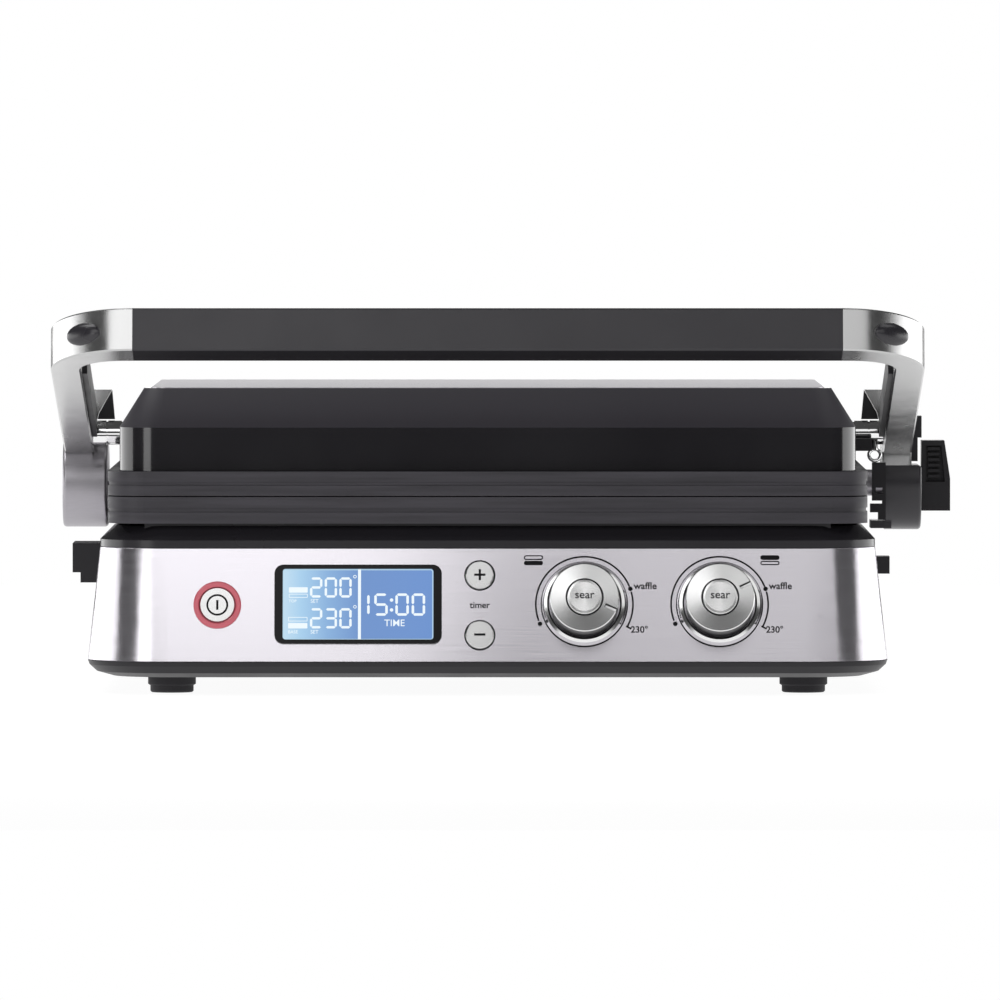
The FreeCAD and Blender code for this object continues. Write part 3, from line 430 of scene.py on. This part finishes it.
def oblong(x, y, width, height, radius):
    """A rectangle about x, y with round corners."""
    half_w, half_h = width / 2 - radius, height / 2 - radius
    points = []
    for quarter, (side, level) in enumerate(((1, 1), (-1, 1), (-1, -1), (1, -1))):
        points += around(x + side * half_w, y + level * half_h, radius,
                         90 * quarter, 90 * quarter + 90, 18)
    return [points]


def oblong_ring(x, y, width, height, radius, line):
    outer = oblong(x, y, width, height, radius)[0]
    inner = oblong(x, y, width - 2 * line, height - 2 * line, max(radius - line, 0.02))[0]
    return band(inner + inner[:1], outer + outer[:1])


def bar(x, y, width, height, angle=0.0):
    turn = math.radians(angle)
    along = Vector((math.cos(turn), math.sin(turn))) * width / 2
    across = Vector((-math.sin(turn), math.cos(turn))) * height / 2
    middle = Vector((x, y))
    corners = (along + across, across - along, -along - across, along - across)
    return [[tuple(middle + corner) for corner in corners]]


def marks(name, shapes, place, thickness, look, body):
    """A thin solid standing thickness millimetres on the plane of place, one per shape."""
    drawing = bmesh.new()
    for shape in shapes:
        drawing.faces.new([drawing.verts.new((x * MM, y * MM, 0)) for x, y in shape])
    bmesh.ops.remove_doubles(drawing, verts=drawing.verts[:], dist=MERGE_DISTANCE)
    made = bmesh.ops.extrude_face_region(drawing, geom=drawing.faces[:], use_keep_orig=True)
    lifted = [item for item in made["geom"] if isinstance(item, bmesh.types.BMVert)]
    bmesh.ops.translate(drawing, verts=lifted, vec=(0, 0, thickness * MM))
    bmesh.ops.recalc_face_normals(drawing, faces=drawing.faces[:])
    return add_piece(name, drawing, place, look, body)


def lettering(name, words, width, place, look, body, weight=0.0, thickness=0.06):
    """Plain generic lettering, width millimetres wide, centred on the plane of place."""
    text = bpy.data.curves.new(name, "FONT")
    text.body = words
    text.align_x = "CENTER"
    text.align_y = "CENTER"
    text.offset = weight
    draft = bpy.data.objects.new(name + "_draft", text)
    bpy.context.collection.objects.link(draft)
    bpy.context.view_layer.update()
    scale = width * MM / draft.dimensions.x
    text.extrude = thickness * MM / scale / 2
    bpy.context.view_layer.update()
    graph = bpy.context.evaluated_depsgraph_get()
    mesh = bpy.data.meshes.new_from_object(draft.evaluated_get(graph))
    bpy.data.objects.remove(draft)
    mesh.transform(Matrix.Scale(scale, 4))
    return add_piece(name, mesh, place, look, body)


def spun(name, profile, place, look, body, steps=96):
    """A turned piece from (radius, height) points in millimetres about the z axis of place."""
    drawing = bmesh.new()
    rows = []
    for step in range(steps):
        turn = 2 * math.pi * step / steps
        rows.append([drawing.verts.new((radius * math.cos(turn) * MM,
                                        radius * math.sin(turn) * MM,
                                        height * MM)) for radius, height in profile])
    for row, following in zip(rows, rows[1:] + rows[:1]):
        for index in range(len(profile)):
            after = (index + 1) % len(profile)
            drawing.faces.new((row[index], following[index], following[after], row[after]))
    bmesh.ops.recalc_face_normals(drawing, faces=drawing.faces[:])
    piece = add_piece(name, drawing, place, look, body)
    for face in piece.data.polygons:
        face.use_smooth = True
    piece.data.set_sharp_from_angle(angle=SHARP_ANGLE)
    return piece


# ---- second looks and seams on the lid, grip and left arm, some of them painted light and shade ----

def second_look(node, look, chosen):
    """Gives look to the faces of a node's mesh whose middle and normal are chosen."""
    mesh = CAD[node].data
    mesh.materials.append(look)
    for face in mesh.polygons:
        if chosen(face.center, face.normal):
            face.material_index = 1


def facing(low, high):
    """Chooses faces whose normal's upward part lies between low and high."""
    return lambda point, normal: low < normal.z < high


ARM_LEAN = math.radians(11.82)
BOW_DEPTH, BOW_HEIGHT = 24.8, 18.9
GRIP_EDGE = 0.8
GRIP_END = 154.85
GRIP_SEAM = 0.28
ARM_MIDDLE = 185.4
ARM_WRAP = 13.5
ARM_SEAM = 0.5
HUB_STATION = 263.7
SEAM_CORNER, SEAM_LINE = 0.7, 0.6
GRIP_LOW, GRIP_HIGH = box("handle_grip")
HANDLE_FRONT = Vector((
    centre("handle_grip").x,
    GRIP_LOW.y - GRIP_EDGE * math.sin(ARM_LEAN) * MM,
    GRIP_HIGH.z - (BOW_HEIGHT * math.cos(ARM_LEAN) - GRIP_EDGE * math.sin(ARM_LEAN)) * MM))
DOWN_ARM = Vector((0, math.cos(ARM_LEAN), -math.sin(ARM_LEAN)))
UP_FROM_ARM = Vector((0, math.sin(ARM_LEAN), math.cos(ARM_LEAN)))


def arm_band(name, x, station, width, height, thickness, along):
    """A thin black band round the arm or the grip, square to the axis it runs along: painted shade in
    the seam.
    """
    across = Matrix.Rotation(-ARM_LEAN, 4, "X") @ Matrix.Rotation(math.radians(90), 4, along)
    middle = Vector((x * MM, 0, 0)) + DOWN_ARM * station * MM + UP_FROM_ARM * BOW_HEIGHT / 2 * MM
    place = Matrix.Translation(HANDLE_FRONT + middle) @ across
    marks(name, oblong_ring(0, 0, width, height, SEAM_CORNER, SEAM_LINE), place, thickness,
          BLACK, "handle_arms")


# Black bands in the gap at each end of the grip and where the left arm meets its hub: painted shade.
for name, side in (("left", -1), ("right", 1)):
    arm_band("grip_seam_" + name, side * (GRIP_END - GRIP_SEAM / 2), BOW_DEPTH / 2,
             BOW_HEIGHT, BOW_DEPTH, GRIP_SEAM * side, "Y")
arm_band("arm_seam_left", -ARM_MIDDLE, HUB_STATION, ARM_WRAP, BOW_HEIGHT + 0.3, ARM_SEAM, "X")
second_look("arm_left", HUB,
            lambda point, normal: (point - HANDLE_FRONT).dot(DOWN_ARM) > HUB_STATION * MM)
# The lid's upward-sloping faces take the lighter copy: painted light.
second_look("lid_shell", LID_SLOPE_PAINTED_LIGHT, facing(0.3, 0.9))
# The grip's downward faces take the darker copy: painted shade.
second_look("handle_grip", GRIP_UNDER_PAINTED_SHADE, facing(-1.1, -0.6))


# ---- dials: scale printing, black sides, pointers and lettering ----

SCALE_RADIUS = 21.2
SCALE_LINE = 0.75
SCALE_END = -28.0
SCALE_TICK = 2.6
DOT_RADIUS = 1.0
DOT_ANGLES = (204, 19)
ICON_WIDTH, ICON_LINE = 8.4, 0.5
ICON_LEVELS = ((20.8, 2.1), (18.4, 1.9))
ICONS = {"lower": (-22.2, (True, False)), "upper": (22.0, (False, True))}
# Black rings round the foot of the dial's bezel and in the gap round the sear button: painted shade.
SEAT_PROFILE = [(18.55, 0), (19.05, 0), (19.05, 0.12), (18.55, 0.3)]
GAP_PROFILE = [(7.95, 16.6), (8.3, 16.6), (8.3, 17.04), (7.95, 17.05)]
POINTER_ANGLES = {"lower": -22.0, "upper": 26.0}
POINTER_MIDDLE = 12.3
POINTER_FLOOR = 14.8
KNOB_SIDE_HEIGHT = 15.3
SEAR_FACE = 17.8


def dial_scale(name, dial):
    """Two arcs round the dial with a dot at each start, a tick at the end, and their words."""
    scale = ring(0, 0, SCALE_RADIUS, SCALE_LINE, 200, 22)
    scale += ring(0, 0, SCALE_RADIUS, SCALE_LINE, 15.5, SCALE_END)
    scale += bar(*on_circle(SCALE_RADIUS + 0.7, SCALE_END), SCALE_TICK, SCALE_LINE, SCALE_END)
    for angle in DOT_ANGLES:
        scale += disc(*on_circle(SCALE_RADIUS, angle), DOT_RADIUS)
    marks("scale_" + name, scale, dial, PRINT, PRINT_AND_SHADE_BLACK, "base")
    lettering("waffle_" + name, "waffle", 10.1, shifted(dial, 26.6, 8.1), PRINT_AND_SHADE_BLACK, "base",
              0.02)
    lettering("limit_" + name, "230°", 7.4, shifted(dial, 24.0, -11.3), PRINT_AND_SHADE_BLACK, "base",
              0.02)


def plate_icon(name, dial, x, hollows):
    """Two stacked plates, the one this dial sets drawn solid."""
    drawn = []
    for (level, height), hollow in zip(ICON_LEVELS, hollows):
        if hollow:
            drawn += oblong_ring(x, level, ICON_WIDTH, height, height / 2, ICON_LINE)
        else:
            drawn += oblong(x, level, ICON_WIDTH, height, height / 2)
    marks("icon_" + name, drawn, dial, PRINT, PRINT_AND_SHADE_BLACK, "base")


def pointer(name, place, body):
    """A black bar across the knob's rim with a white line inside it set low, so the black shows mostly
    above the line: painted shade on the slot's upper wall.
    """
    turn = Matrix.Rotation(math.radians(POINTER_ANGLES[name]), 4, "Z")
    # The black slot floor is painted shade.
    slot_floor = shifted(place @ turn, 0, 0, POINTER_FLOOR)
    marks("pointer_slot_" + name, bar(POINTER_MIDDLE, 0, 5.2, 1.64), slot_floor, 0.1,
          PRINT_AND_SHADE_BLACK, body)
    marks("pointer_" + name, bar(POINTER_MIDDLE, -0.22, 5.0, 1.0), shifted(slot_floor, 0, 0, 0.1), 0.9,
          PRINT_WHITE, body)


def dial(name):
    place = panel_frame(*panel_station("sear_button_" + name, SEAR_DEPTH))
    body = name + "_knob"
    dial_scale(name, place)
    plate_icon(name, place, *ICONS[name])
    # Painted shade: black rings at the foot of the bezel and round the sear button.
    spun("ring_seat_" + name, SEAT_PROFILE, place, PRINT_AND_SHADE_BLACK, "base")
    spun("sear_gap_" + name, GAP_PROFILE, place, PRINT_AND_SHADE_BLACK, body)
    pointer(name, place, body)
    lettering("sear_" + name, "sear", 8.4, shifted(place, 0, 0.8, SEAR_FACE), PRINT_AND_SHADE_BLACK,
              name + "_sear", 0.008)
    middle = place.translation
    second_look("knob_" + name, KNOB_SIDE,
                lambda point, normal: (point - middle).dot(OUTWARD) < KNOB_SIDE_HEIGHT * MM)


for dial_name in ("lower", "upper"):
    dial(dial_name)


# ---- keys ----

POWER_DEPTH, POWER_FACE = -1.1 * MM, 0.8 * MM
KEY_DEPTH, KEY_FACE = -0.65 * MM, 1.7 * MM
STROKE, STROKE_LINE = 4.9, 1.0


def key_sign(crossed):
    """A minus sign, or a plus sign where it is crossed, without overlapping strokes."""
    sign = bar(0, 0, STROKE, STROKE_LINE)
    if crossed:
        arm = (STROKE - STROKE_LINE) / 2
        for side in (1, -1):
            sign += bar(0, side * (STROKE_LINE + arm) / 2, STROKE_LINE, arm)
    return sign


power = panel_frame(*panel_station("power_button", POWER_DEPTH), POWER_FACE)
marks("power_mark", ring(0, 0, 4.35, 0.85) + bar(0, 0, 1.0, 4.3), power, PRINT, PRINT_AND_SHADE_BLACK,
      "power_key")

for key, crossed in (("plus", True), ("minus", False)):
    station = panel_station(key + "_button", KEY_DEPTH)
    marks(key + "_mark", key_sign(crossed), panel_frame(*station, KEY_FACE), PRINT, PRINT_AND_SHADE_BLACK,
          key + "_key")
    # A black ring on the panel round each key: painted shade in the gap round it.
    marks(key + "_seat", ring(0, 0, 6.6, 0.4), panel_frame(*station), PRINT, PRINT_AND_SHADE_BLACK, "base")

timer_x, plus_z = panel_station("plus_button", KEY_DEPTH)
minus_z = panel_station("minus_button", KEY_DEPTH)[1]
lettering("timer_word", "timer", 8.9, panel_frame(timer_x, (plus_z + minus_z) / 2),
          PRINT_AND_SHADE_BLACK, "base", 0.02)


# ---- display ----

GLASS_DEPTH, GLASS_SINK = -1.0 * MM, -0.4 * MM
SEGMENTS = {"0": "abcdef", "1": "ef", "2": "abged", "3": "abgcd", "5": "afgcd"}
SEGMENT_GAP = 0.12
SMALL_DIGIT = (5.4, 9.0, 1.05)
LARGE_DIGIT = (5.9, 9.9, 1.1)
TEMPERATURE_START, TEMPERATURE_STEP = -18.3, 6.4
TEMPERATURE_LEVELS = (7.6, -6.1)
TIME_COLUMNS = (6.9, 10.0, 19.2, 26.3)
DEGREE_COLUMN, DEGREE_LEVELS = -1.4, (12.4, -1.0)
COLON_COLUMN, COLON_LEVELS = 14.6, (2.0, -2.4)
DIVIDER = (0.6, 0, 1.3, 31.3)
SOLID_PLATES = ((-26.1, 6.5, 8.2, 2.4, 0.3), (-26.3, -9.4, 8.4, 2.4, 0.3))
HOLLOW_PLATES = ((-26.1, 3.9, 8.2, 1.7, 0.3), (-26.3, -6.5, 8.4, 1.9, 0.3))
CAPTIONS = (("time", "TIME", 8.9, 15.9, -8.3), ("top", "TOP", 3.4, -28.6, 1.5),
            ("base", "BASE", 4.2, -28.4, -12.2), ("set_top", "SET", 3.4, -19.0, 1.5),
            ("set_base", "SET", 3.4, -19.0, -12.2))


def segment(x_low, x_high, y_low, y_high, line):
    """One pointed bar, lying or standing, between the two ends of its middle line."""
    half = line / 2
    if y_low == y_high:
        return [[(x_low, y_low), (x_low + half, y_low - half), (x_high - half, y_low - half),
                 (x_high, y_low), (x_high - half, y_low + half), (x_low + half, y_low + half)]]
    return [[(x_low, y_low), (x_low + half, y_low + half), (x_low + half, y_high - half),
             (x_low, y_high), (x_low - half, y_high - half), (x_low - half, y_low + half)]]


def digit(symbol, x, y, width, height, line):
    """A seven-bar digit centred on x, y."""
    left, right = x - (width - line) / 2, x + (width - line) / 2
    low, high = y - (height - line) / 2, y + (height - line) / 2
    gap = SEGMENT_GAP
    bars = {
        "a": (left + gap, right - gap, high, high),
        "g": (left + gap, right - gap, y, y),
        "d": (left + gap, right - gap, low, low),
        "f": (left, left, y + gap, high - gap),
        "e": (left, left, low + gap, y - gap),
        "b": (right, right, y + gap, high - gap),
        "c": (right, right, low + gap, y - gap),
    }
    drawn = []
    for name in SEGMENTS[symbol]:
        drawn += segment(*bars[name], line)
    return drawn


def display_figures():
    """Temperatures on the left of the divider, each with its plates, and the time on the right."""
    lit = []
    for level in DEGREE_LEVELS:
        lit += ring(DEGREE_COLUMN, level, 0.6, 0.3)
    for number, level in zip(("200", "230"), TEMPERATURE_LEVELS):
        for index, symbol in enumerate(number):
            lit += digit(symbol, TEMPERATURE_START + TEMPERATURE_STEP * index, level, *SMALL_DIGIT)
    for symbol, column in zip("1500", TIME_COLUMNS):
        lit += digit(symbol, column, 0, *LARGE_DIGIT)
    for level in COLON_LEVELS:
        lit += disc(COLON_COLUMN, level, 0.75)
    lit += bar(*DIVIDER)
    for solid, hollow in zip(SOLID_PLATES, HOLLOW_PLATES):
        lit += oblong(*solid) + oblong_ring(*hollow, 0.25)
    return lit


screen = panel_frame(*panel_station("display_glass", GLASS_DEPTH), GLASS_SINK)
marks("display_figures", display_figures(), screen, 0.04, LIT, "base")
marks("display_edge", oblong_ring(0, 0, 65.6, 31.4, 1.2, 0.45), screen, 0.03, LIT_EDGE, "base")
for name, words, width, column, level in CAPTIONS:
    lettering("display_" + name, words, width, shifted(screen, column, level), LIT, "base",
              0.004, 0.04)


# ---- camera and floor ----

CAMERA_PLACE = Vector((-3.2, -6147.4, 246.4)) * MM
CAMERA_PITCH = math.radians(1.538)
CAMERA_LENS = 495.97
FLOOR_SIZE = 2.6
FLOOR_DROP = 0.0002
WHITE = (1, 1, 1, 1)

camera_data = bpy.data.cameras.new("camera")
camera_data.lens = CAMERA_LENS
camera_data.sensor_width = 36.0
camera_data.clip_end = 50.0
camera = bpy.data.objects.new("camera", camera_data)
camera.location = CAMERA_PLACE
camera.rotation_euler = (math.pi / 2 - CAMERA_PITCH, 0, 0)
bpy.context.collection.objects.link(camera)
scene = bpy.context.scene
scene.camera = camera
scene.view_settings.view_transform = "Standard"
scene.view_settings.look = "None"

bpy.ops.mesh.primitive_plane_add(size=FLOOR_SIZE, location=(0, 0, -FLOOR_DROP))
floor = bpy.context.object
floor.name = "floor"
floor_look = new_material("floor_white", (0.14, 0.14, 0.14), 0.0, 0.9, Emission_Strength=0.94)
shader_of(floor_look).inputs["Emission Color"].default_value = WHITE
floor.data.materials.append(floor_look)


# ---- lights ----

OBJECT_MIDDLE = Vector((0, 0, 0.08))
SOFT_LIGHT, BACKDROP = 0.06, 1.0
SOFTBOXES = (
    # name, azimuth, elevation, distance, width, height, radiance
    ("front_left", -25, 26, 0.9, 0.74, 0.42, 1.68),
    ("front_right", 25, 26, 0.9, 0.74, 0.42, 0.92),
    ("strip_left", -40, 5, 1.0, 0.3, 0.2, 3.0),
    ("side_left", -114, 3.5, 1.1, 1.5, 0.34, 2.2),
    ("side_right", 114, 3.5, 1.1, 1.5, 0.34, 2.3),
    ("over_left", -90, 60, 1.1, 0.5, 0.7, 3.4),
    ("over_right", 90, 60, 1.1, 0.5, 0.7, 1.5),
    ("rear_low", 180, 9, 1.5, 0.66, 0.5, 1.4),
)


def studio_world(lighting, backdrop):
    """White backdrop to the camera, soft dim light for everything else."""
    world = bpy.data.worlds.new("studio")
    scene.world = world
    world.use_nodes = True
    nodes, links = world.node_tree.nodes, world.node_tree.links
    soft = nodes["Background"]
    soft.inputs["Color"].default_value = (lighting, lighting, lighting, 1)
    white = nodes.new("ShaderNodeBackground")
    white.inputs["Color"].default_value = (backdrop, backdrop, backdrop, 1)
    path = nodes.new("ShaderNodeLightPath")
    mix = nodes.new("ShaderNodeMixShader")
    links.new(path.outputs["Is Camera Ray"], mix.inputs["Fac"])
    links.new(soft.outputs["Background"], mix.inputs[1])
    links.new(white.outputs["Background"], mix.inputs[2])
    links.new(mix.outputs["Shader"], nodes["World Output"].inputs["Surface"])


def softbox(name, azimuth, elevation, distance, width, height, radiance):
    """A soft panel round the object: azimuth 0 in front of it, 90 on its right."""
    turn, rise = math.radians(azimuth), math.radians(elevation)
    away = Vector((math.sin(turn) * math.cos(rise), -math.cos(turn) * math.cos(rise),
                   math.sin(rise)))
    data = bpy.data.lights.new(name, "AREA")
    data.shape = "RECTANGLE"
    data.size = width
    data.size_y = height
    data.energy = radiance * math.pi * width * height
    lamp = bpy.data.objects.new(name, data)
    lamp.location = OBJECT_MIDDLE + away * distance
    lamp.rotation_euler = away.to_track_quat("Z", "Y").to_euler()
    lamp.visible_camera = False
    bpy.context.collection.objects.link(lamp)


studio_world(SOFT_LIGHT, BACKDROP)
for panel in SOFTBOXES:
    softbox(*panel)
